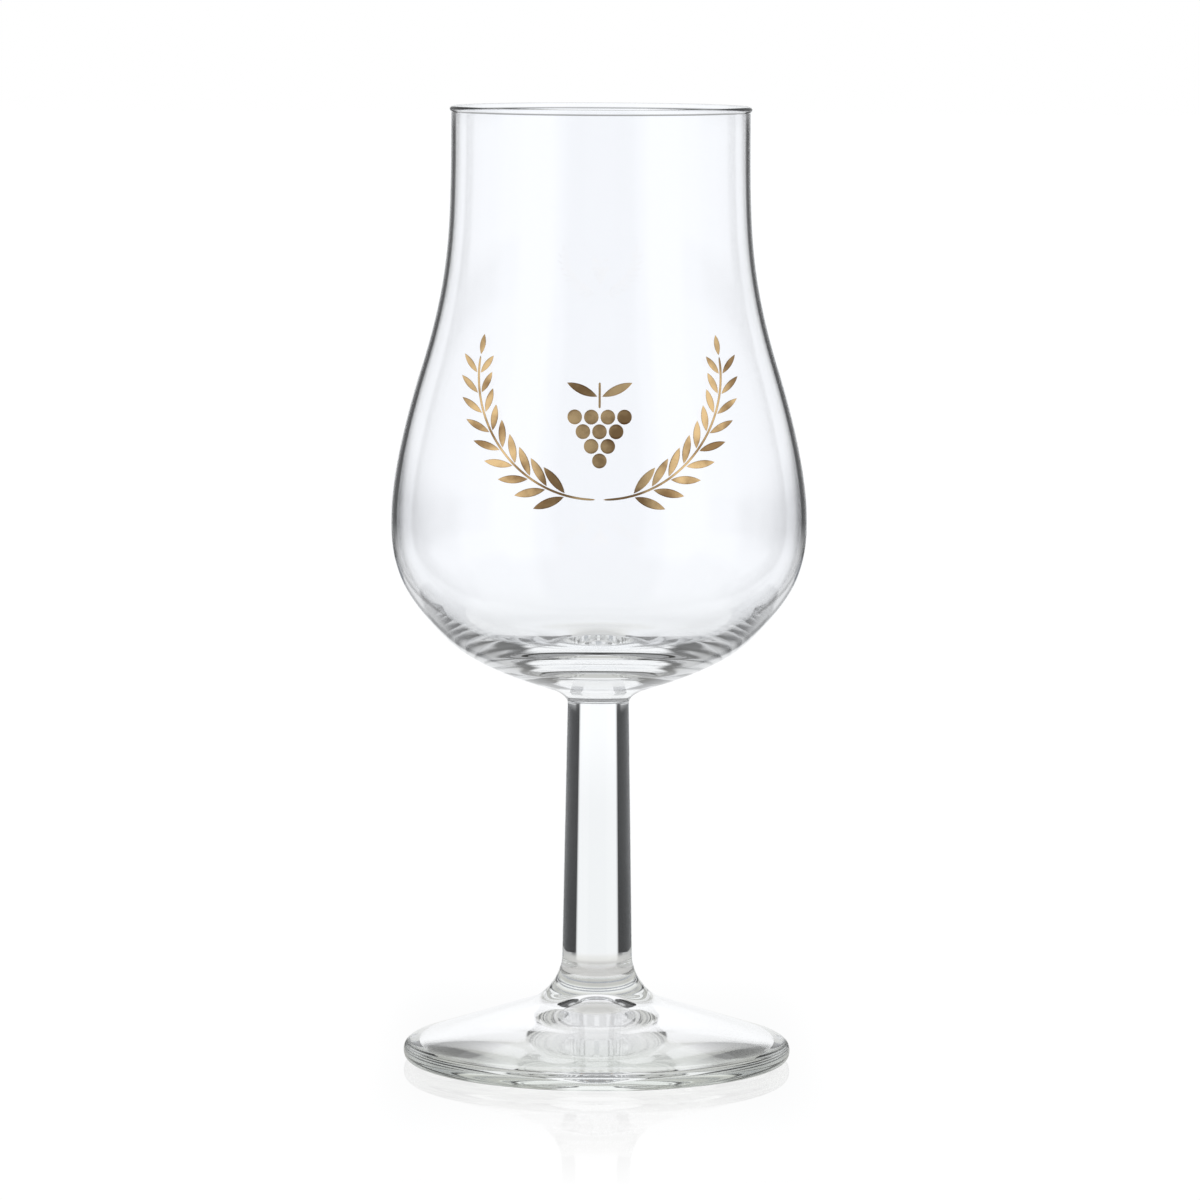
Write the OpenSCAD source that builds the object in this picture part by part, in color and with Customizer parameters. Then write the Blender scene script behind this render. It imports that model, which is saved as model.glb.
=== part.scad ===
// Stemmed tulip glass for brandy. A blown bowl, a drawn stem and a pressed foot are
// welded hot, and a thin gilt print is fired on the front of the bowl.
// Millimetres, +Z up, origin on the table under the middle of the foot.

/* [Foot] */
// Diameter of the foot
foot_d = 63.1; // [54:0.1:76]
// Height of the foot from the table to its weld with the stem
foot_h = 16.8; // [15:0.1:24]
// Height of the foot's widest line above the table
foot_edge_h = 1.4; // [1:0.1:2]
// Height above the table where the sloping top begins
foot_edge_t = 3.4; // [2.6:0.1:5]
// Distance in from the widest line to where the sloping top begins
foot_edge_round = 2.4; // [1.5:0.1:4]
// Slope of the top, in degrees
foot_slope = 18.4; // [12:0.1:22]
// Diameter where the sloping top turns up into the boss
flare_d = 22.8; // [18:0.1:30]
// Distance in from the widest line to the standing ring
ring_inset = 1.15; // [0.6:0.05:2]
// Width of the flat ring that stands on the table
ring_w = 2.4; // [1.5:0.1:5]
// Height of the hollow under the foot, at the edge of its dimple
hollow_h = 5.3; // [2:0.1:8]
// Diameter of the dimple in the middle of the hollow
dimple_d = 14; // [8:0.1:18]
// Rise of the dimple above its edge
dimple_rise = 3.3; // [0.4:0.1:4]

/* [Stem] */
// Length of the stem between its two welds
stem_h = 41.6; // [20:0.1:80]
// Diameter at the weld with the bowl
stem_top_d = 10.04; // [7:0.02:13]
// Diameter at the weld with the foot
stem_foot_d = 11.44; // [7:0.02:15]

/* [Bowl] */
// Height of the bowl from its weld with the stem to the top of the rim
bowl_h = 96.6; // [84:0.1:120]
// Largest outer diameter
belly_d = 67.4; // [58:0.1:80]
// Height of the largest diameter above the weld
belly_h = 29.8; // [24:0.1:36]
// Outer diameter where the neck begins
neck_d = 49; // [42:0.1:56]
// Length of the neck, down from the top of the rim
neck_len = 18.5; // [10:0.1:26]
// Outer diameter just under the rim bead
rim_d = 48.4; // [42:0.1:56]
// Wall of the bowl
wall_t = 0.9; // [0.6:0.05:2]
// How far the fire-polished rim bead stands out from the wall
bead_swell = 0.2; // [0.1:0.05:0.6]
// Glass in the middle of the base, from the weld to the floor of the well
base_t = 9.6; // [6:0.1:14]
// Diameter at the end of the fillet under the base
fillet_d = 17.4; // [15:0.1:22]
// Height of the fillet under the base
fillet_h = 2.6; // [1.6:0.1:4]
// Slope of the base where the fillet ends, in degrees
fillet_slope = 17.9; // [12:0.1:24]
// Slope of the flank between base and belly, in degrees
flank_slope = 44.4; // [36:0.1:52]
// Slope of the inside where the well meets its wall, in degrees
well_slope = 46; // [38:1:54]
// Lean of the shoulder between belly and neck, in degrees
shoulder_lean = 17; // [10:0.5:24]
// Lean of the neck where it begins, in degrees
neck_lean = 3; // [0:0.5:6]

/* [Gilt print] */
// Thickness of the fired film
gilt_t = 0.05; // [0.03:0.01:0.1]
// Clearance between the glass and the film
gilt_lift = 0.1; // [0.02:0.01:0.2]
// Height of the tie of the two sprays above the bowl's weld
tie_h = 36; // [34:0.5:42]
// Radius that each spray's stalk curves on
spray_r = 18.5; // [16:0.5:21]
// Angle that each spray sweeps through, in degrees
spray_sweep = 100; // [80:1:110]
// Distance of each stalk's lower end from the middle
tie_gap = 0.6; // [0.3:0.1:1.5]
// Width of a stalk
stalk_w = 0.36; // [0.2:0.02:0.6]
// Pairs of leaves on each spray
leaf_pairs = 9; // [5:1:9]
// Length of the largest leaf
leaf_l = 5.2; // [3:0.1:5.6]
// Width of the largest leaf
leaf_w = 1.4; // [0.8:0.1:1.5]
// Angle between a leaf and its stalk, in degrees
leaf_angle = 36; // [33:1:50]
// Bare film-free gap between a leaf and its stalk
leaf_gap = 0.2; // [0.1:0.05:0.5]
// Grapes in the top row of the bunch
grape_rows = 4; // [2:1:5]
// Diameter of a grape
grape_d = 2.3; // [1.2:0.1:2.6]
// Bare gap between two grapes
grape_gap = 0.3; // [0.15:0.05:0.6]
// Height of the lowest grape above the tie of the sprays
bunch_h = 6; // [5:0.1:8]
// Length of the bunch's own stalk
bunch_stalk_l = 4; // [2:0.1:6]
// Angle of the two leaves over the bunch above level, in degrees
crown_angle = 24; // [10:1:50]

/* [Hidden] */
$fn = 96;

// Straight steps along each curve, and around the rim bead
curve_steps = 24;
bead_steps = 20;

// Directions of a heading that runs straight out, straight up and straight down, in degrees
out = 0;
up = 90;
down = 270;
// Turn that reverses a heading, in degrees
back = 180;

// Flank station, as shares of the belly's radius and height
flank_shares = [0.74, 0.36];
// Edge of the well, as shares of the belly's radius and of the rise from well floor to belly
well_shares = [0.807, 0.277];
// Shoulder station, as shares of the way from belly to neck, across and up
shoulder_shares = [0.517, 0.507];
// Pull of each curve at its two ends, as shares of the distance between its ends
fillet_pull_shares = [0.335, 0.178];
base_pull_shares = [0.343, 0.303];
flank_pull_shares = [0.445, 0.377];
shoulder_pull_shares = [0.295, 0.303];
neck_pull_shares = [0.369, 0.352];
rim_pull_shares = [0.33, 0.33];
well_wall_pull_shares = [0.377, 0.4];
well_floor_pull_shares = [0.5, 0.35];
edge_under_pull_shares = [0.35, 0.5];
edge_over_pull_shares = [0.455, 0.5];
boss_pull_shares = [0.442, 0.245];
dimple_pull_shares = [0.4, 0.4];
// Size of the last leaf on a spray, and room kept bare at a stalk's foot, as shares
tip_leaf_share = 0.62;
bare_stalk_share = 0.14;

foot_r = foot_d / 2;
ring_r = foot_r - ring_inset;
hollow_r = ring_r - ring_w;
dimple_r = dimple_d / 2;
hollow_slope = atan(hollow_h / (hollow_r - dimple_r));
top_r = foot_r - foot_edge_round;
flare_h = foot_edge_t + (top_r - flare_d / 2) * tan(foot_slope);
stem_taper = atan((stem_foot_d - stem_top_d) / 2 / stem_h);
bowl_z = foot_h + stem_h;

belly_r = belly_d / 2;
neck_r = neck_d / 2;
rim_r = rim_d / 2;
neck_h = bowl_h - neck_len;
bead_r = (wall_t + bead_swell) / 2;
bead_c = [rim_r - wall_t + bead_r, bowl_h - bead_r];
bead_foot = acos((wall_t - bead_r) / bead_r);
fillet_end = [fillet_d / 2, fillet_h];
flank = [belly_r * flank_shares[0], belly_h * flank_shares[1]];
belly = [belly_r, belly_h];
shoulder = [
    belly_r + (neck_r - belly_r) * shoulder_shares[0],
    belly_h + (neck_h - belly_h) * shoulder_shares[1]
];
neck = [neck_r, neck_h];
rim = [rim_r, bead_c[1] - bead_r * sin(bead_foot)];
well = [belly_r * well_shares[0], base_t + (belly_h - base_t) * well_shares[1]];
wall = [wall_t, 0];

// Unit step along a heading in degrees
function step_to(a) = [cos(a), sin(a)];

// Cubic curve from a, leaving on heading da, to b, arriving on heading db. Each pull is how
// far the curve follows its end's heading. The last point is left to the curve that follows.
function curve(a, da, b, db, pull_shares) =
    let (
        span = norm(b - a),
        p = a + step_to(da) * span * pull_shares[0],
        q = b - step_to(db) * span * pull_shares[1]
    )
    [
        for (i = [0 : curve_steps - 1])
        let (t = i / curve_steps, s = 1 - t)
        a * s * s * s + p * 3 * s * s * t + q * 3 * s * t * t + b * t * t * t
    ];

// Outside of the bowl from its weld up to the rim, as points of radius and height
function bowl_outside() = concat(
    curve([stem_top_d / 2, 0], up, fillet_end, fillet_slope, fillet_pull_shares),
    curve(fillet_end, fillet_slope, flank, flank_slope, base_pull_shares),
    curve(flank, flank_slope, belly, up, flank_pull_shares),
    curve(belly, up, shoulder, up + shoulder_lean, shoulder_pull_shares),
    curve(shoulder, up + shoulder_lean, neck, up + neck_lean, neck_pull_shares),
    curve(neck, up + neck_lean, rim, up, rim_pull_shares)
);

// Fire-polished bead over the rim, from the outside of the wall round to the inside
function rim_bead() = [
    for (i = [0 : bead_steps])
    bead_c + bead_r * step_to(-bead_foot + (back + bead_foot) * i / bead_steps)
];

// Inside of the bowl from the bead down to the floor of the well. The wall keeps its
// thickness to the belly and then swells into the heavy base.
function bowl_inside() = concat(
    curve([rim_r, bead_c[1]] - wall, down, neck - wall, down + neck_lean, rim_pull_shares),
    curve(neck - wall, down + neck_lean, shoulder - wall, down + shoulder_lean,
        [neck_pull_shares[1], neck_pull_shares[0]]),
    curve(shoulder - wall, down + shoulder_lean, belly - wall, down,
        [shoulder_pull_shares[1], shoulder_pull_shares[0]]),
    curve(belly - wall, down, well, back + well_slope, well_wall_pull_shares),
    curve(well, back + well_slope, [0, base_t], back, well_floor_pull_shares),
    [[0, base_t]]
);

// The first inside point is the bead's last one
function all_but_first(points) = [for (i = [1 : len(points) - 1]) points[i]];

module bowl() {
    color("aliceblue")
    translate([0, 0, bowl_z])
    rotate_extrude()
    polygon(concat([[0, 0]], bowl_outside(), rim_bead(), all_but_first(bowl_inside())));
}

module stem() {
    color("azure")
    translate([0, 0, foot_h])
    cylinder(h = stem_h, d1 = stem_foot_d, d2 = stem_top_d);
}

module foot() {
    boss = [stem_foot_d / 2, foot_h];
    flare = [flare_d / 2, flare_h];
    edge = [foot_r, foot_edge_h];
    top_edge = [top_r, foot_edge_t];
    dimple = [dimple_r, hollow_h];
    color("honeydew")
    rotate_extrude()
    polygon(concat(
        curve([0, hollow_h + dimple_rise], out, dimple, -hollow_slope, dimple_pull_shares),
        [dimple, [hollow_r, 0]],
        curve([ring_r, 0], out, edge, up, edge_under_pull_shares),
        curve(edge, up, top_edge, back - foot_slope, edge_over_pull_shares),
        [top_edge],
        curve(flare, back - foot_slope, boss, up + stem_taper, boss_pull_shares),
        [boss, [0, foot_h]]
    ));
}

// Skin of film thickness round the outside of the bowl, from the flank to the rim
module gilt_skin() {
    under = [for (p = bowl_outside()) if (p[1] >= flank[1]) p + [gilt_lift, 0]];
    last = len(under) - 1;
    translate([0, 0, bowl_z])
    rotate_extrude()
    polygon(concat(under, [for (i = [last : -1 : 0]) under[i] + [gilt_t, 0]]));
}

// Flat artwork, drawn about the tie of the sprays, laid on the front of the bowl
module gilt() {
    color("goldenrod")
    intersection() {
        gilt_skin();
        translate([0, 0, bowl_z + tie_h])
        rotate([up, 0, 0])
        linear_extrude(height = belly_d)
        children();
    }
}

module both_sprays() {
    children();
    mirror([1, 0]) children();
}

// Place on the right-hand stalk at an angle round its curve, turned to run along it
module on_stalk(a) {
    translate([spray_r * sin(a) + tie_gap, spray_r * (1 - cos(a))])
    rotate(a)
    children();
}

// Pointed leaf that starts at the origin and lies along +X: where two discs overlap
module leaf(l, w) {
    r = (l * l + w * w) / (4 * w);
    translate([l / 2, 0])
    intersection() {
        translate([0, r - w / 2]) circle(r);
        translate([0, w / 2 - r]) circle(r);
    }
}

module gilt_stalks() {
    gilt() {
        both_sprays()
        translate([tie_gap, spray_r])
        intersection() {
            difference() {
                circle(spray_r + stalk_w / 2);
                circle(spray_r - stalk_w / 2);
            }
            polygon([[0, 0], step_to(-up) * spray_r * 2, step_to(spray_sweep - up) * spray_r * 2]);
        }
        translate([-stalk_w / 2, bunch_top + leaf_gap]) square([stalk_w, bunch_stalk_l]);
    }
}

module gilt_leaves() {
    gilt()
    both_sprays() {
        for (i = [0 : leaf_pairs - 1]) {
            a = spray_sweep * (bare_stalk_share + (1 - bare_stalk_share) * i / leaf_pairs);
            size = 1 - (1 - tip_leaf_share) * i / leaf_pairs;
            on_stalk(a)
            for (side = [-1, 1])
                rotate(side * leaf_angle)
                translate([stalk_w / 2 / sin(leaf_angle) + leaf_gap, 0])
                leaf(leaf_l * size, leaf_w * size);
        }
        on_stalk(spray_sweep)
        translate([leaf_gap, 0])
        leaf(leaf_l * tip_leaf_share, leaf_w * tip_leaf_share);
        translate([stalk_w / 2 + leaf_gap, bunch_top + bunch_stalk_l / 2])
        rotate(crown_angle)
        leaf(leaf_l, leaf_w);
    }
}

// Grapes lie in rows like stacked balls, one more in each row up
grape_pitch = grape_d + grape_gap;
grape_rise = grape_pitch * sin(60);
bunch_top = bunch_h + (grape_rows - 1) * grape_rise + grape_d / 2;

module gilt_grapes() {
    gilt()
    for (row = [0 : grape_rows - 1])
        for (i = [0 : row])
            translate([(i - row / 2) * grape_pitch, bunch_h + row * grape_rise])
            circle(d = grape_d);
}

bowl();
stem();
foot();
gilt_stalks();
gilt_leaves();
gilt_grapes();
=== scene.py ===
import math
import bpy
import numpy as np
from mathutils import Matrix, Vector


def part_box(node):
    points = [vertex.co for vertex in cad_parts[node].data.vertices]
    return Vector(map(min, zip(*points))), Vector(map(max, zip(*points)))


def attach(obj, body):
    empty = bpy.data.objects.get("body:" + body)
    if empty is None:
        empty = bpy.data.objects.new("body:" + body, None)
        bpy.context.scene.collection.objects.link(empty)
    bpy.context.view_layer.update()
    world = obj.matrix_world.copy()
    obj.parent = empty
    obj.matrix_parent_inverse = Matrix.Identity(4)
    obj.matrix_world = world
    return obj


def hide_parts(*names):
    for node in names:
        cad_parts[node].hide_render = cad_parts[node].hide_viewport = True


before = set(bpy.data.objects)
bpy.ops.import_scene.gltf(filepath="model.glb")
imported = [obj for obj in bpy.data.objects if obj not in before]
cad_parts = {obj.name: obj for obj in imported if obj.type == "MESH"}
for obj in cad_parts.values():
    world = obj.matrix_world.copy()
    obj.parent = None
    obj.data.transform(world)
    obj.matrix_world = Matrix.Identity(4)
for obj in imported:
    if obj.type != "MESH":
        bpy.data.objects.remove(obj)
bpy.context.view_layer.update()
print("frame loaded:", ", ".join(sorted(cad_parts)))

scene = bpy.context.scene
mm = 0.001
turnSteps = 256  # columns round each turned glass piece
bendSteps = 30
creaseAngle = 14  # a profile that turns by more than this, in degrees, gets a hard edge
bowlLow, bowlHigh = (corner.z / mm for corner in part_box("bowl"))
stemLow, stemHigh = (corner.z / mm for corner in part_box("stem"))

camera = {
    "place": (0, -0.985, 0.179),
    "lens": 183.2,
    "sensor": 36,
    "tiltDown": 6.02,
    "panRight": 0.012,
    "roll": 0.27,  # the glass leans a little to the right in the picture
}
bounces = {"all": 200, "transmission": 200, "glossy": 64, "transparent": 64}  # the thin wall guides light far
eye = bpy.data.objects.new("eye", bpy.data.cameras.new("eye"))
scene.collection.objects.link(eye)
eye.data.lens = camera["lens"]
eye.data.sensor_width = camera["sensor"]
eye.matrix_world = (
    Matrix.Translation(camera["place"])
    @ Matrix.Rotation(math.radians(-camera["panRight"]), 4, "Z")
    @ Matrix.Rotation(math.radians(90 - camera["tiltDown"]), 4, "X")
    @ Matrix.Rotation(math.radians(camera["roll"]), 4, "Z")
)
scene.camera = eye
scene.view_settings.view_transform = "Standard"
scene.cycles.max_bounces = bounces["all"]
scene.cycles.transmission_bounces = bounces["transmission"]
scene.cycles.glossy_bounces = bounces["glossy"]
scene.cycles.transparent_max_bounces = bounces["transparent"]
print("camera set")


# A shader socket that takes part in Python sums; node() adds any other node of its tree.
class Wire:
    def __init__(self, tree, socket=None):
        self.tree, self.socket = tree, socket

    def node(self, kind, settings=None, sockets=None, output=0):
        made = self.tree.nodes.new("ShaderNode" + kind)
        for key, value in (settings or {}).items():
            setattr(made, key, value)
        for key, value in (sockets or {}).items():
            if isinstance(value, Wire):
                self.tree.links.new(value.socket, made.inputs[key])
            else:
                made.inputs[key].default_value = value
        return Wire(self.tree, made.outputs[output] if made.outputs else None)

    def math(self, operation, *others):
        return self.node("Math", {"operation": operation}, dict(enumerate((self, *others))))

    def __add__(self, other): return self.math("ADD", other)
    def __radd__(self, other): return self + other
    def __mul__(self, other): return self.math("MULTIPLY", other)
    def __rmul__(self, other): return self * other
    def __sub__(self, other): return self.math("SUBTRACT", other)
    def __rsub__(self, other): return self * -1 + other
    def __truediv__(self, other): return self.math("DIVIDE", other)
    def __abs__(self): return self.math("ABSOLUTE")

    # 0 below low, 1 above high, smooth between
    def rise(self, low, high):
        return self.node("MapRange", {"interpolation_type": "SMOOTHSTEP"},
                         {"Value": self, "From Min": low, "From Max": high})

    # Rise about a middle, as soft each side as edge says
    def past(self, middle, edge):
        return self.rise(middle - edge, middle + edge)

    # 1 between low and high, with soft edges
    def within(self, low, high, edge):
        return self.past(low, edge) * (1 - self.past(high, edge))

    # Value between two numbers, low at 0 and high at 1
    def between(self, low, high):
        return low + self * (high - low)

    # Moves a share of the way to a target
    def toward(self, target, share):
        return self + (target - self) * share

    def parts(self):
        return [self.node("SeparateXYZ", None, {0: self}, axis) for axis in "XYZ"]

    # Colour between two, low at 0 and high at 1
    def colour(self, low, high):
        return self.node("Mix", {"data_type": "RGBA"}, {0: self, 6: (*low, 1), 7: (*high, 1)}, 2)


def newMaterial(name):
    material = bpy.data.materials.new(name)
    material.use_nodes = True
    material.node_tree.nodes.clear()
    return material, Wire(material.node_tree)


def show(wire, shader):
    wire.node("OutputMaterial", None, {"Surface": shader})


glassBody = {
    "ior": 1.52,
    "cloudScale": 45.0, "cloudDetail": 2.0, "waveDetail": 1.0,
    "tintLeast": 0.8, "tintSpread": 0.4,  # how far the tint wanders
}


# Clear glass: a tint that deepens by height and wanders a little, over a faint waviness. On the foot the deeper
# tint is partly painted shade.
def glass(name, look):
    material, wire = newMaterial(name)
    spot = wire.node("TexCoord", output="Object")
    depth = 1 - spot.parts()[2].rise(look["tintFrom"] * mm, look["tintTo"] * mm)
    cloud = wire.node("TexNoise", None, {
        "Vector": spot, "Scale": glassBody["cloudScale"], "Detail": glassBody["cloudDetail"]}, "Fac")
    wander = glassBody["tintLeast"] + cloud * glassBody["tintSpread"]
    tint = (depth * wander).colour(look["clear"], look["deep"])
    swell = wire.node("TexNoise", None, {
        "Vector": spot, "Scale": look["waveScale"], "Detail": glassBody["waveDetail"]}, "Fac")
    normal = wire.node("Bump", None, {
        "Height": swell, "Strength": look["waveStrength"], "Distance": look["wave"] * mm})
    show(wire, wire.node("BsdfPrincipled", None, {
        "Base Color": tint, "Roughness": 0.0, "IOR": glassBody["ior"],
        "Transmission Weight": 1.0, "Normal": normal}))
    return material


# The fused faces between two gathers, where light runs straight on
def fusedWeld():
    material, wire = newMaterial("fusedWeld")
    show(wire, wire.node("BsdfTransparent"))
    return material


# Cubic bend in radius and height: it leaves start on one heading, reaches end on another, and
# each pull is the share of the straight distance for which it follows that heading.
def bend(start, startHeading, end, endHeading, pulls, steps=bendSteps):
    a, b = np.array(start, float), np.array(end, float)
    span = np.hypot(*(b - a))
    aim = np.radians([startHeading, endHeading])
    p = a + span * pulls[0] * np.array([np.cos(aim[0]), np.sin(aim[0])])
    q = b - span * pulls[1] * np.array([np.cos(aim[1]), np.sin(aim[1])])
    t = np.linspace(0, 1, steps + 1)[:, None]
    s = 1 - t
    return a * s**3 + 3 * p * s**2 * t + 3 * q * s * t**2 + b * t**3


# Runs end to end as one line, without the points that repeat
def joined(*runs):
    line = np.vstack(runs)
    return line[np.r_[True, np.hypot(*np.diff(line, axis=0).T) > 1e-6]]


def meshPiece(name, points, faces):
    mesh = bpy.data.meshes.new(name)
    mesh.from_pydata(points, [], faces)
    mesh.polygons.foreach_set("use_smooth", np.ones(len(mesh.polygons), bool))
    piece = bpy.data.objects.new(name, mesh)
    scene.collection.objects.link(piece)
    return piece


# Rings and two poles to faces: ring i, column j joins its neighbours, and the poles close the ends.
def ringFaces(rings, columns):
    here = np.arange(rings * columns).reshape(rings, columns)
    there = np.roll(here, -1, axis=1)
    quads = np.stack([here[:-1], there[:-1], there[1:], here[1:]], -1).reshape(-1, 4)
    first = np.stack([np.full(columns, rings * columns), there[0], here[0]], -1)
    last = np.stack([np.full(columns, rings * columns + 1), here[-1], there[-1]], -1)
    return quads, first, last


# Turned surface: profile point i and angle j give (r cos angle, r sin angle, z), its first and last
# points lie on the axis, and rings where the profile turns sharply get a hard edge.
def turned(name, profile, columns=turnSteps, wander=None):
    rings = profile[1:-1]
    angle = np.linspace(0, 2 * np.pi, columns, endpoint=False)
    radius, height = rings[:, :1] + 0 * angle, rings[:, 1:] + 0 * angle
    if wander:
        radius, height = wander(radius, height, angle)
    grid = np.stack([radius * np.cos(angle), radius * np.sin(angle), height], -1).reshape(-1, 3)
    poles = np.array([[0, 0, profile[0, 1]], [0, 0, profile[-1, 1]]])
    quads, first, last = ringFaces(len(rings), columns)
    piece = meshPiece(name, (np.vstack([grid, poles]) * mm).tolist(),
                      quads.tolist() + first.tolist() + last.tolist())
    step = np.diff(profile, axis=0)
    heading = np.unwrap(np.arctan2(step[:, 1], step[:, 0]))
    crease = np.r_[np.abs(np.diff(heading)) > np.radians(creaseAngle), False]
    edges = piece.data.edges
    ends = np.empty(2 * len(edges), np.int32)
    edges.foreach_get("vertices", ends)
    ring = np.minimum(ends // columns, len(rings)).reshape(-1, 2)
    edges.foreach_set("use_edge_sharp", (ring[:, 0] == ring[:, 1]) & crease[ring[:, 0]])
    return piece


# Puts the glass on the piece, and the fused material on the flat discs at its welds.
def glaze(piece, material, weldAtStart, weldAtEnd):
    piece.data.materials.append(material)
    piece.data.materials.append(fused)
    count = len(piece.data.polygons)
    index = np.zeros(count, np.int32)
    index[count - 2 * turnSteps:count - turnSteps] = int(weldAtStart)
    index[count - turnSteps:] = int(weldAtEnd)
    piece.data.polygons.foreach_set("material_index", index)


def place(piece, node):
    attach(piece, "root")
    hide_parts(node)


fused = fusedWeld()

bowl = {
    "stubR": 5.02,
    "filletEnd": (8.7, 2.6), "filletSlope": 17.9, "filletPulls": (0.335, 0.178),
    "flank": (24.938, 10.728), "flankSlope": 44.4, "flankPulls": (0.343, 0.303),
    "belly": (33.7, 29.8), "bellyPulls": (0.445, 0.377),
    "shoulder": (28.944, 54.288), "shoulderLean": 17, "shoulderPulls": (0.295, 0.303),
    "neck": (24.5, 78.1), "neckLean": 3, "neckPulls": (0.369, 0.352),
    "rimR": 24.2, "rimPulls": (0.33, 0.33), "wall": 0.9, "beadR": 0.55, "beadSteps": 37,
    "well": (27.196, 15.195), "wellSlope": 46, "wellPulls": (0.377, 0.4),
    "baseThick": 9.6, "basePulls": (0.5, 0.35),
    "look": {"clear": (0.98, 0.985, 1.0), "deep": (0.97, 0.98, 0.985), "tintFrom": 58, "tintTo": 84,
             "wave": 0.05, "waveScale": 60.0, "waveStrength": 0.03},
}
rimH = bowlHigh - bowlLow
beadC = np.array([bowl["rimR"] - bowl["wall"] + bowl["beadR"], rimH - bowl["beadR"]])
beadFoot = math.acos((bowl["wall"] - bowl["beadR"]) / bowl["beadR"])
beadTurn = np.linspace(-beadFoot, math.pi, bowl["beadSteps"])
wall = np.array([bowl["wall"], 0])
neck, shoulder, belly = (np.array(bowl[key]) for key in ("neck", "shoulder", "belly"))
rimUnder = beadC + bowl["beadR"] * np.array([math.cos(beadFoot), -math.sin(beadFoot)])
bowlOutside = joined(
    bend((bowl["stubR"], 0), 90, bowl["filletEnd"], bowl["filletSlope"], bowl["filletPulls"]),
    bend(bowl["filletEnd"], bowl["filletSlope"], bowl["flank"], bowl["flankSlope"], bowl["flankPulls"]),
    bend(bowl["flank"], bowl["flankSlope"], belly, 90, bowl["bellyPulls"]),
    bend(belly, 90, shoulder, 90 + bowl["shoulderLean"], bowl["shoulderPulls"]),
    bend(shoulder, 90 + bowl["shoulderLean"], neck, 90 + bowl["neckLean"], bowl["neckPulls"]),
    bend(neck, 90 + bowl["neckLean"], rimUnder, 90, bowl["rimPulls"]),
)
# The inside runs down the same bends, one wall further in, and then over the thick base
bowlInside = joined(
    bend(beadC - (bowl["beadR"], 0), 270, neck - wall, 270 + bowl["neckLean"], bowl["rimPulls"][::-1]),
    bend(neck - wall, 270 + bowl["neckLean"], shoulder - wall, 270 + bowl["shoulderLean"],
         bowl["neckPulls"][::-1]),
    bend(shoulder - wall, 270 + bowl["shoulderLean"], belly - wall, 270, bowl["shoulderPulls"][::-1]),
    bend(belly - wall, 270, bowl["well"], 180 + bowl["wellSlope"], bowl["wellPulls"]),
    bend(bowl["well"], 180 + bowl["wellSlope"], (0, bowl["baseThick"]), 180, bowl["basePulls"]),
)
bead = beadC + bowl["beadR"] * np.stack([np.cos(beadTurn), np.sin(beadTurn)], -1)
bowlLine = joined([(0, 0)], bowlOutside, bead, bowlInside) + (0, bowlLow)
bowlPiece = turned("bowlGlass", bowlLine)
glaze(bowlPiece, glass("bowlGlass", bowl["look"]), True, False)
place(bowlPiece, "bowl")
print("bowl turned:", len(bowlLine), "profile points")

stem = {
    "topR": 5.02, "footR": 5.72, "rings": 49,
    "look": {"clear": (0.985, 0.995, 1.0), "deep": (0.965, 0.98, 0.98), "tintFrom": 17, "tintTo": 58,
             "wave": 0.05, "waveScale": 60.0, "waveStrength": 0.02},
}
share = np.linspace(0, 1, stem["rings"])[:, None]
stemSide = (stem["footR"], stemLow) * (1 - share) + (stem["topR"], stemHigh) * share
stemPiece = turned("stemGlass", joined([(0, stemLow)], stemSide, [(0, stemHigh)]))
glaze(stemPiece, glass("stemGlass", stem["look"]), True, True)
place(stemPiece, "stem")
print("stem drawn")

foot = {
    "edge": (31.55, 1.4), "edgePulls": (0.35, 0.5), "edgeSteps": 24, "ringR": 30.4, "hollowR": 28.0,
    "top": (29.15, 3.4), "topPulls": (0.455, 0.5), "slope": 18.4, "slopeSteps": 25,
    "flareR": 11.4, "flarePulls": (0.442, 0.245),
    "dimple": (7, 5.3), "dimplePulls": (0.4, 0.4), "apex": 8.6,
    "ripple": 0.06,  # how far the pressed edge wanders
    "rippleWaves": (3, 5, 8, 13), "rippleDamp": 3, "rippleFrom": 26, "rippleWide": 5, "rippleRise": 0.6,
    # The foot's deep tint, darker and greener low down, is partly the green of the thick glass edge and partly
    # painted shade from the table under the foot
    "look": {"clear": (0.982, 0.983, 0.99), "deep": (0.8, 0.835, 0.79), "tintFrom": 0.5, "tintTo": 3.8,
             "wave": 0.05, "waveScale": 70.0, "waveStrength": 0.015},
}
flareRise = (foot["top"][0] - foot["flareR"]) * math.tan(math.radians(foot["slope"]))
flare = (foot["flareR"], foot["top"][1] + flareRise)
boss = (stem["footR"], stemLow)
taper = math.degrees(math.atan((stem["footR"] - stem["topR"]) / (stemHigh - stemLow)))
hollowSlope = math.degrees(math.atan(foot["dimple"][1] / (foot["hollowR"] - foot["dimple"][0])))
run = np.linspace(0, 1, foot["slopeSteps"])[:, None]


# The pressed edge: its radius drops by a sum of waves round the foot, fading towards the middle and
# on the standing ring.
def pressedEdge(radius, height, angle):
    waves = enumerate(foot["rippleWaves"], 1)
    wave = sum(np.sin(k * angle + k * k) / n for n, k in waves) / foot["rippleDamp"]
    outer = np.clip((radius - foot["rippleFrom"]) / foot["rippleWide"], 0, 1)
    outer = outer * np.clip(height / foot["rippleRise"], 0, 1)
    return radius - foot["ripple"] * outer * (0.5 + 0.5 * wave), height


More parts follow.
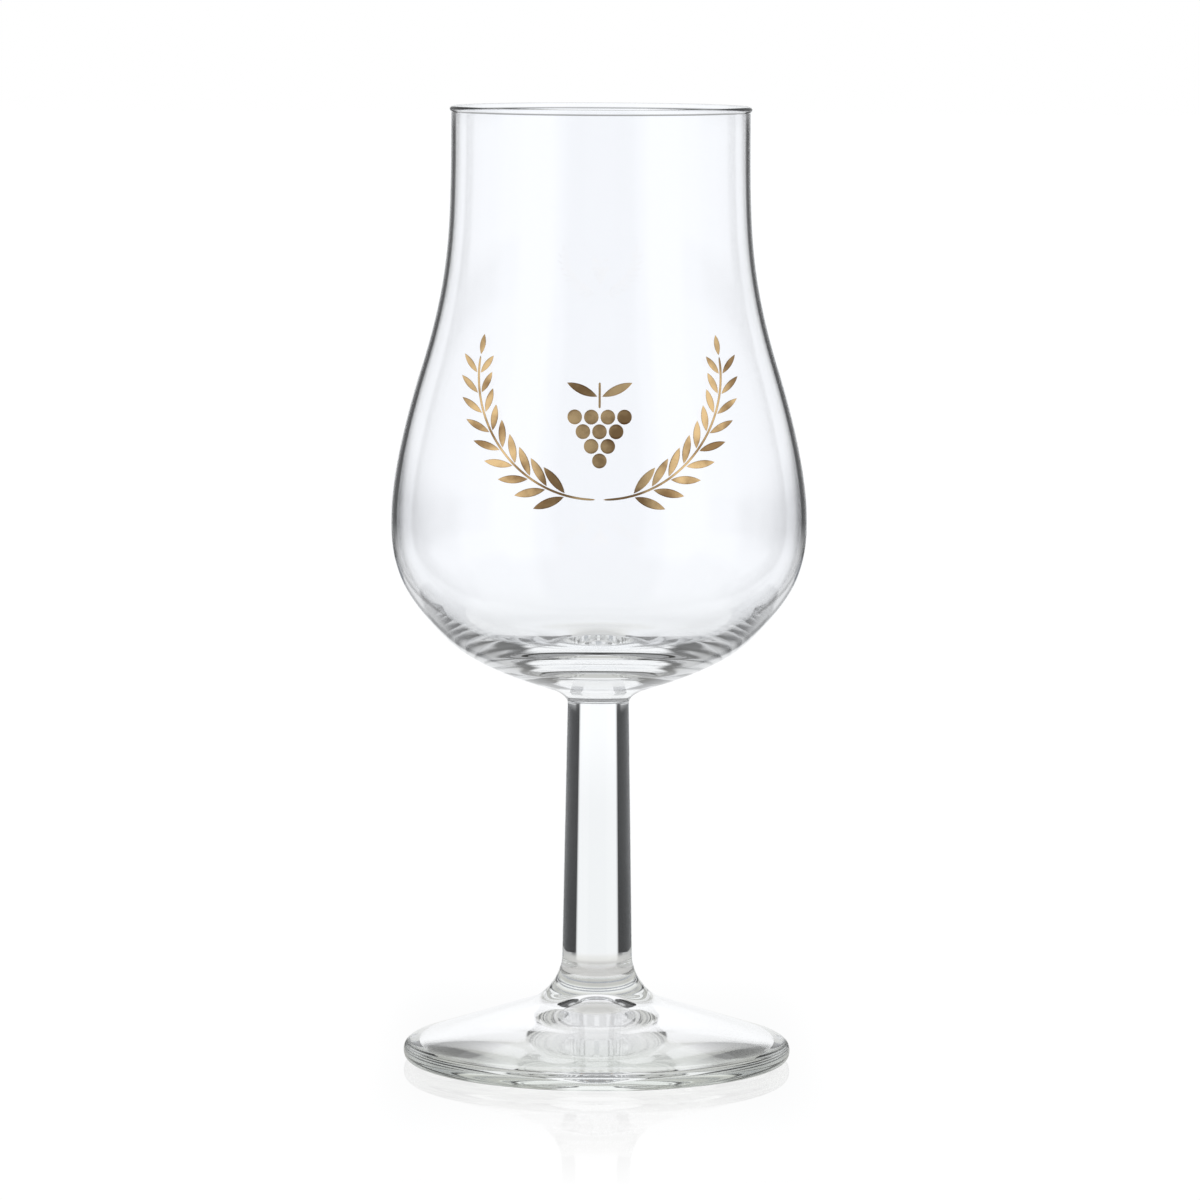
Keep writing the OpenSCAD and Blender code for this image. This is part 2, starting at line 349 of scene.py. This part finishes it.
footLine = joined(
    bend((0, foot["apex"]), 0, foot["dimple"], -hollowSlope, foot["dimplePulls"]),
    np.array(foot["dimple"]) * (1 - run) + np.array((foot["hollowR"], 0)) * run,
    [(foot["hollowR"], 0), (foot["ringR"], 0)],
    bend((foot["ringR"], 0), 0, foot["edge"], 90, foot["edgePulls"], foot["edgeSteps"]),
    bend(foot["edge"], 90, foot["top"], 180 - foot["slope"], foot["topPulls"], foot["edgeSteps"]),
    np.array(foot["top"]) * (1 - run) + np.array(flare) * run,
    bend(flare, 180 - foot["slope"], boss, 90 + taper, foot["flarePulls"]),
    [boss, (0, stemLow)],
)
footPiece = turned("footGlass", footLine, wander=pressedEdge)
glaze(footPiece, glass("footGlass", foot["look"]), False, True)
place(footPiece, "foot")
print("foot pressed:", len(footLine), "profile points")

gilt = {
    "tieH": 36, "sprayR": 18.5, "sweep": 100, "tieGap": 0.6, "stalkW": 0.36, "stalkEndPower": 24,
    "leafPairs": 9, "leafL": 5.2, "leafW": 1.4, "leafAngle": 36, "leafGap": 0.2,
    "tipShare": 0.62, "bareShare": 0.14, "crownAngle": 24,
    "grapeRows": 4, "grapeD": 2.3, "grapeGap": 0.3, "grapeAngle": 60, "bunchH": 6, "bunchStalkL": 4,
    "under": 0.03, "over": 0.08, "spreadPower": 0.6, "liftPower": 0.4,
    "sprayPoints": 97, "strokePoints": 33, "leafAround": 16, "stalkAround": 12, "grapeAround": 24,
    # deep is a dark brown that is partly the film's own colour and partly painted reflection of the dark room
    "pale": (1.0, 0.7, 0.36), "deep": (0.24, 0.125, 0.05),
    "driftScale": 160.0, "driftDetail": 5.0, "driftFrom": 0.38, "driftTo": 0.62, "driftTone": 0.8,
    "rimFrom": 0.62, "rimTone": 0.3,
    "grainScale": 5200.0, "grainDetail": 2.0, "grainShare": 0.4, "bump": 0.02, "bumpStrength": 0.25,
    "roughLeast": 0.2, "roughSpread": 0.16,
}


# Gilt metal: roughness drifts with the uneven fired film. The tone drifts to dark brown in patches and along
# the rim of each stroke, and that dark brown is partly the film's own colour and partly painted reflection of
# the dark room.
def giltMetal():
    material, wire = newMaterial("gilt")
    spot = wire.node("TexCoord", output="Object")
    across = wire.node("UVMap", {"uv_map": "stroke"}).parts()[1]
    drift = wire.node("TexNoise", None, {
        "Vector": spot, "Scale": gilt["driftScale"], "Detail": gilt["driftDetail"]}, "Fac")
    grain = wire.node("TexNoise", None, {
        "Vector": spot, "Scale": gilt["grainScale"], "Detail": gilt["grainDetail"]}, "Fac")
    rim = abs(across * 2 - 1).rise(gilt["rimFrom"], 1.0)
    # Painted dark reflection, partly the film's own brown: dark brown in drifting patches and along each
    # stroke's rim
    filmAndReflectionBrown = drift.rise(gilt["driftFrom"], gilt["driftTo"]) * gilt["driftTone"] + rim * gilt["rimTone"]
    tone = filmAndReflectionBrown.math("MINIMUM", 1).colour(gilt["pale"], gilt["deep"])
    normal = wire.node("Bump", None, {
        "Height": grain * gilt["grainShare"] + drift,
        "Strength": gilt["bumpStrength"], "Distance": gilt["bump"] * mm})
    show(wire, wire.node("BsdfPrincipled", None, {
        "Base Color": tone, "Metallic": 1.0,
        "Roughness": gilt["roughLeast"] + drift * gilt["roughSpread"], "Normal": normal}))
    return material


# Radius of the bowl's outside at a height over its weld
def bowlRadius(height):
    return np.interp(height, bowlOutside[:, 1], bowlOutside[:, 0])


# Gilt stroke: a flat-topped band along a path in the front view (x, height), as wide each side as
# halfWidth says and closed to a point at both ends. y = -sqrt((bowl radius + lift)^2 - x^2).
def stroke(path, halfWidth, around):
    way = np.gradient(path, axis=0)
    side = np.stack([-way[:, 1], way[:, 0]], -1) / np.hypot(*way.T)[:, None]
    turn = np.linspace(0, 2 * np.pi, around, endpoint=False)
    spread = np.sign(np.cos(turn)) * np.abs(np.cos(turn)) ** gilt["spreadPower"]
    lift = (1 + np.sign(np.sin(turn)) * np.abs(np.sin(turn)) ** gilt["liftPower"]) / 2
    flat = path[:, None] + side[:, None] * halfWidth[:, None, None] * spread[:, None]
    lifted = np.broadcast_to(gilt["under"] + (gilt["over"] - gilt["under"]) * lift, flat.shape[:2])
    x, height = flat[..., 0], flat[..., 1]
    y = -np.sqrt((bowlRadius(height) + lifted) ** 2 - x**2)
    grid = np.stack([x, y, height + bowlLow], -1)
    ringGrid = grid[1:-1].reshape(-1, 3)
    poles = grid[[0, -1]].mean(axis=1)
    along = np.linspace(0, 1, len(path))
    across = np.broadcast_to((spread + 1) / 2, (len(path) - 2, around)).ravel()
    uv = np.stack([np.r_[np.repeat(along[1:-1], around), 0, 1], np.r_[across, 0.5, 0.5]], -1)
    quads, first, last = ringFaces(len(path) - 2, around)
    return np.vstack([ringGrid, poles]), quads, np.vstack([first, last]), uv


# Many strokes in one mesh, with a UV map that runs along and across each stroke
def strokes(name, parts):
    offset = np.cumsum([0] + [len(part[0]) for part in parts[:-1]])
    points = np.vstack([part[0] for part in parts]) * mm
    quads = np.vstack([part[1] + start for part, start in zip(parts, offset)])
    fans = np.vstack([part[2] + start for part, start in zip(parts, offset)])
    uv = np.vstack([part[3] for part in parts])
    piece = meshPiece(name, points.tolist(), quads.tolist() + fans.tolist())
    corners = np.empty(len(piece.data.loops), np.int32)
    piece.data.loops.foreach_get("vertex_index", corners)
    piece.data.uv_layers.new(name="stroke").data.foreach_set("uv", uv[corners].ravel())
    return piece


# Unit vector at an angle from the x axis, in degrees
def toHeading(angle):
    return np.array([math.cos(math.radians(angle)), math.sin(math.radians(angle))])


# Leaf from a base point along a heading: two equal arcs meet at its ends.
def leaf(base, heading, length, width, mirrored):
    r = (length**2 + width**2) / (4 * width)
    s = length / 2 * -np.cos(np.linspace(0, np.pi, gilt["strokePoints"]))
    half = np.sqrt(r**2 - s**2) - (r - width / 2)
    path = np.array(base) + (s + length / 2)[:, None] * toHeading(heading)
    return stroke(path * (mirrored, 1) + (0, gilt["tieH"]), half, gilt["leafAround"])


# Stalk of even width along a path, rounded at both ends
def stalk(path, mirrored):
    reach = np.linspace(-1, 1, len(path))
    half = gilt["stalkW"] / 2 * (1 - np.abs(reach) ** gilt["stalkEndPower"]) ** 0.5
    return stroke(path * (mirrored, 1) + (0, gilt["tieH"]), half, gilt["stalkAround"])


# Disc as a stroke across its middle
def disc(middle, diameter):
    t = np.linspace(0, np.pi, gilt["strokePoints"])
    path = np.array(middle) + diameter / 2 * np.stack([-np.cos(t), 0 * t], -1)
    return stroke(path + (0, gilt["tieH"]), diameter / 2 * np.sin(t), gilt["grapeAround"])


# Point of the right spray: an arc that starts level beside the tie
def onSpray(angle):
    a = np.radians(angle)
    return np.stack([gilt["sprayR"] * np.sin(a) + gilt["tieGap"], gilt["sprayR"] * (1 - np.cos(a))], -1)


pitch = gilt["grapeD"] + gilt["grapeGap"]
rowRise = pitch * math.sin(math.radians(gilt["grapeAngle"]))
bunchTop = gilt["bunchH"] + (gilt["grapeRows"] - 1) * rowRise + gilt["grapeD"] / 2
bunchFoot = np.array([0, bunchTop + gilt["leafGap"]])
bunchReach = np.linspace(0, gilt["bunchStalkL"], gilt["strokePoints"])[:, None]
bunchStalk = bunchFoot + bunchReach * np.array([0, 1])
spray = onSpray(np.linspace(0, gilt["sweep"], gilt["sprayPoints"]))
stalkParts = [stalk(spray, 1), stalk(spray, -1), stalk(bunchStalk, 1)]

leafParts = []
leafStart = gilt["stalkW"] / 2 / math.sin(math.radians(gilt["leafAngle"])) + gilt["leafGap"]
for mirrored in (1, -1):
    for i in range(gilt["leafPairs"]):
        angle = gilt["sweep"] * (gilt["bareShare"] + (1 - gilt["bareShare"]) * i / gilt["leafPairs"])
        size = 1 - (1 - gilt["tipShare"]) * i / gilt["leafPairs"]
        for side in (-1, 1):
            heading = angle + side * gilt["leafAngle"]
            leafParts.append(leaf(onSpray(angle) + leafStart * toHeading(heading), heading,
                                  gilt["leafL"] * size, gilt["leafW"] * size, mirrored))
    tip = onSpray(gilt["sweep"]) + gilt["leafGap"] * toHeading(gilt["sweep"])
    leafParts.append(leaf(tip, gilt["sweep"],
                          gilt["leafL"] * gilt["tipShare"], gilt["leafW"] * gilt["tipShare"], mirrored))
    crown = (gilt["stalkW"] / 2 + gilt["leafGap"], bunchTop + gilt["bunchStalkL"] / 2)
    leafParts.append(leaf(crown, gilt["crownAngle"], gilt["leafL"], gilt["leafW"], mirrored))

grapeParts = [disc(((i - row / 2) * pitch, gilt["bunchH"] + row * rowRise), gilt["grapeD"])
              for row in range(gilt["grapeRows"]) for i in range(row + 1)]

giltFinish = giltMetal()
for name, node, parts in (("giltStalks", "gilt_stalks", stalkParts), ("giltLeaves", "gilt_leaves", leafParts),
                          ("giltGrapes", "gilt_grapes", grapeParts)):
    piece = strokes(name, parts)
    piece.data.materials.append(giltFinish)
    place(piece, node)
print("gilt laid:", len(stalkParts), "stalks,", len(leafParts), "leaves,", len(grapeParts), "grapes")

# Lengths are in millimetres and angles in degrees, round from the back or up from the tent's middle
studio = {
    "floorHalf": 6000, "floorDrop": 0.3, "floorGlow": 1.03, "floorBlur": 0.006,
    "floorShine": 0.24, "shineWide": 26, "shineEnd": 46, "shineFrom": 20, "shineTo": 130,
    "tentR": 130, "tentH": 80, "tentRings": 49, "tentColumns": 96,
    "backLight": 1.06, "backUnder": 0.965, "underFrom": -27.0, "underTo": -18.0,
    "backHalf": 25.2, "backEdge": 2.7, "backLow": -45.0, "backHigh": 44.0, "backFade": 7.0,
    "sideGrey": 0.1, "sideLight": 0.46, "sideFrom": 70.0, "sideTo": 95.0,
    "paleDeep": 0.42, "deepFrom": -34.0, "deepTo": -25.0,
    "paleLow": 0.64, "lowFrom": 33.4, "paleHigh": 0.75, "highFrom": 42.0, "paleEdge": 4.0,
    "greyLow": -4.2, "greyHigh": 8.1, "greyEdge": 6.9,
    "boxLight": 0.85, "boxFrom": 106.0, "boxTo": 150.0, "boxLow": -55.0, "boxHigh": 46.0, "boxEdge": 5.0,
    "front": (0.39, 0.41, 0.44), "frontFrom": 150.0, "frontEdge": 5.0,
    "tableLight": 0.6, "tableFrom": -44.0, "tableTo": -38.0,
    "roofLight": 0.37, "roofFrom": 31.5, "roofTo": 35.0,
    "tableHue": (1.0, 1.0, 0.97), "hue": (0.99, 1.0, 1.01), "room": (1, 1, 1),
    "cardDark": 0.025, "cardFade": 1.5, "cardColumns": 25, "cardRows": 9,
    # radius, first and last angle from the back, lower and upper edge of each pair of black cards
    "cards": ((80, 25.5, 72, 2.1, 46.4),),
}


# Pale floor that mirrors the glass faintly near its foot
def floorFinish():
    material, wire = newMaterial("paleFloor")
    x, y = wire.node("TexCoord", output="Object").parts()[:2]
    near = 1 - abs(x).rise(studio["shineWide"] * mm, studio["shineEnd"] * mm)
    near = near * (1 - abs(y).rise(studio["shineFrom"] * mm, studio["shineTo"] * mm))
    glow = wire.node("Emission", None, {"Strength": studio["floorGlow"]})
    shine = wire.node("BsdfGlossy", None, {"Roughness": studio["floorBlur"]})
    show(wire, wire.node("MixShader", None, {0: near * studio["floorShine"], 1: glow, 2: shine}))
    return material


# Light tent that stands fixed round the glass: a white wall at the back, grey side walls with a paler
# zone low down and another high up, a light box on each side, a dim front, a pale table and a grey roof.
def tentFinish():
    material, wire = newMaterial("lightTent")
    x, y, z = wire.node("TexCoord", output="Object").parts()
    around = abs(x.math("ARCTAN2", y)) * math.degrees(1)
    up = ((z - studio["tentH"] * mm) / (studio["tentR"] * mm)).math("ARCSINE") * math.degrees(1)
    level = around.rise(studio["sideFrom"], studio["sideTo"]).between(studio["sideGrey"], studio["sideLight"])
    lower = 1 - up.past(studio["greyLow"], studio["greyEdge"])
    lower = lower * around.past(studio["lowFrom"], studio["paleEdge"])
    lower = lower * up.rise(studio["deepFrom"], studio["deepTo"]).between(studio["paleDeep"], studio["paleLow"])
    upper = up.past(studio["greyHigh"], studio["greyEdge"])
    upper = upper * around.past(studio["highFrom"], studio["paleEdge"])
    level = level.math("MAXIMUM", lower).math("MAXIMUM", upper * studio["paleHigh"])
    level = level.toward(studio["roofLight"], up.rise(studio["roofFrom"], studio["roofTo"]))
    boxHeight = up.within(studio["boxLow"], studio["boxHigh"], studio["boxEdge"])
    boxes = around.within(studio["boxFrom"], studio["boxTo"], studio["boxEdge"])
    level = level.toward(studio["boxLight"], boxes * boxHeight)
    table = 1 - up.rise(studio["tableFrom"], studio["tableTo"])
    level = level.toward(studio["tableLight"], table)
    back = 1 - around.past(studio["backHalf"], studio["backEdge"])
    back = back * up.within(studio["backLow"], studio["backHigh"], studio["backFade"])
    white = up.rise(studio["underFrom"], studio["underTo"]).between(studio["backUnder"], studio["backLight"])
    level = level.toward(white, back)
    front = around.past(studio["frontFrom"], studio["frontEdge"]) * boxHeight
    hue = table.colour(studio["hue"], studio["tableHue"])
    light = wire.node("VectorMath", {"operation": "SCALE"}, {0: hue, "Scale": level})
    light = wire.node("Mix", {"data_type": "RGBA"}, {0: front, 6: light, 7: (*studio["front"], 1)}, 2)
    show(wire, wire.node("Emission", None, {"Color": light}))
    material.cycles.emission_sampling = "NONE"
    return material


# Black card that fades out at its upper edge
def cardFinish(top):
    material, wire = newMaterial("blackCard")
    z = wire.node("TexCoord", output="Object").parts()[2]
    clear = z.rise((top - studio["cardFade"]) * mm, (top + studio["cardFade"]) * mm)
    black = wire.node("Emission", None, {"Strength": studio["cardDark"]})
    show(wire, wire.node("MixShader", None, {0: clear, 1: black, 2: wire.node("BsdfTransparent")}))
    material.cycles.emission_sampling = "NONE"
    return material


# Card bent about the glass's axis: angle from the back and height give (R sin angle, R cos angle, z).
def bentCard(name, side, radius, start, end, low, top):
    angle, height = np.meshgrid(side * np.radians(np.linspace(start, end, studio["cardColumns"])),
                                np.linspace(low, top + studio["cardFade"], studio["cardRows"]))
    points = np.stack([radius * np.sin(angle), radius * np.cos(angle), height], -1).reshape(-1, 3) * mm
    here = np.arange(angle.size).reshape(angle.shape)
    quads = np.stack([here[:-1, :-1], here[:-1, 1:], here[1:, 1:], here[1:, :-1]], -1).reshape(-1, 4)
    card = meshPiece(name, points.tolist(), quads.tolist())
    card.data.materials.append(cardFinish(top))
    return card


half, drop = studio["floorHalf"] * mm, -studio["floorDrop"] * mm
floor = meshPiece("paleFloor", [(x * half, y * half, drop) for x, y in ((-1, -1), (1, -1), (1, 1), (-1, 1))],
                  [(0, 1, 2, 3)])
floor.data.materials.append(floorFinish())
floor.visible_transmission = False
floor.visible_glossy = False
arch = np.radians(np.linspace(-90, 90, studio["tentRings"]))
tentLine = studio["tentR"] * np.stack([np.cos(arch), np.sin(arch)], -1) + (0, studio["tentH"])
tent = turned("lightTent", tentLine, studio["tentColumns"])
tent.data.materials.append(tentFinish())
cards = [bentCard(f"blackCard{i}{word}", side, *spec) for i, spec in enumerate(studio["cards"], 1)
         for side, word in ((1, "Right"), (-1, "Left"))]
for card in cards:
    card.visible_glossy = False
for lit in (tent, *cards):
    lit.visible_camera = False

world = bpy.data.worlds.new("paleRoom")
scene.world = world
world.use_nodes = True
world.node_tree.nodes["Background"].inputs["Color"].default_value = (*studio["room"], 1)
print("studio lit")
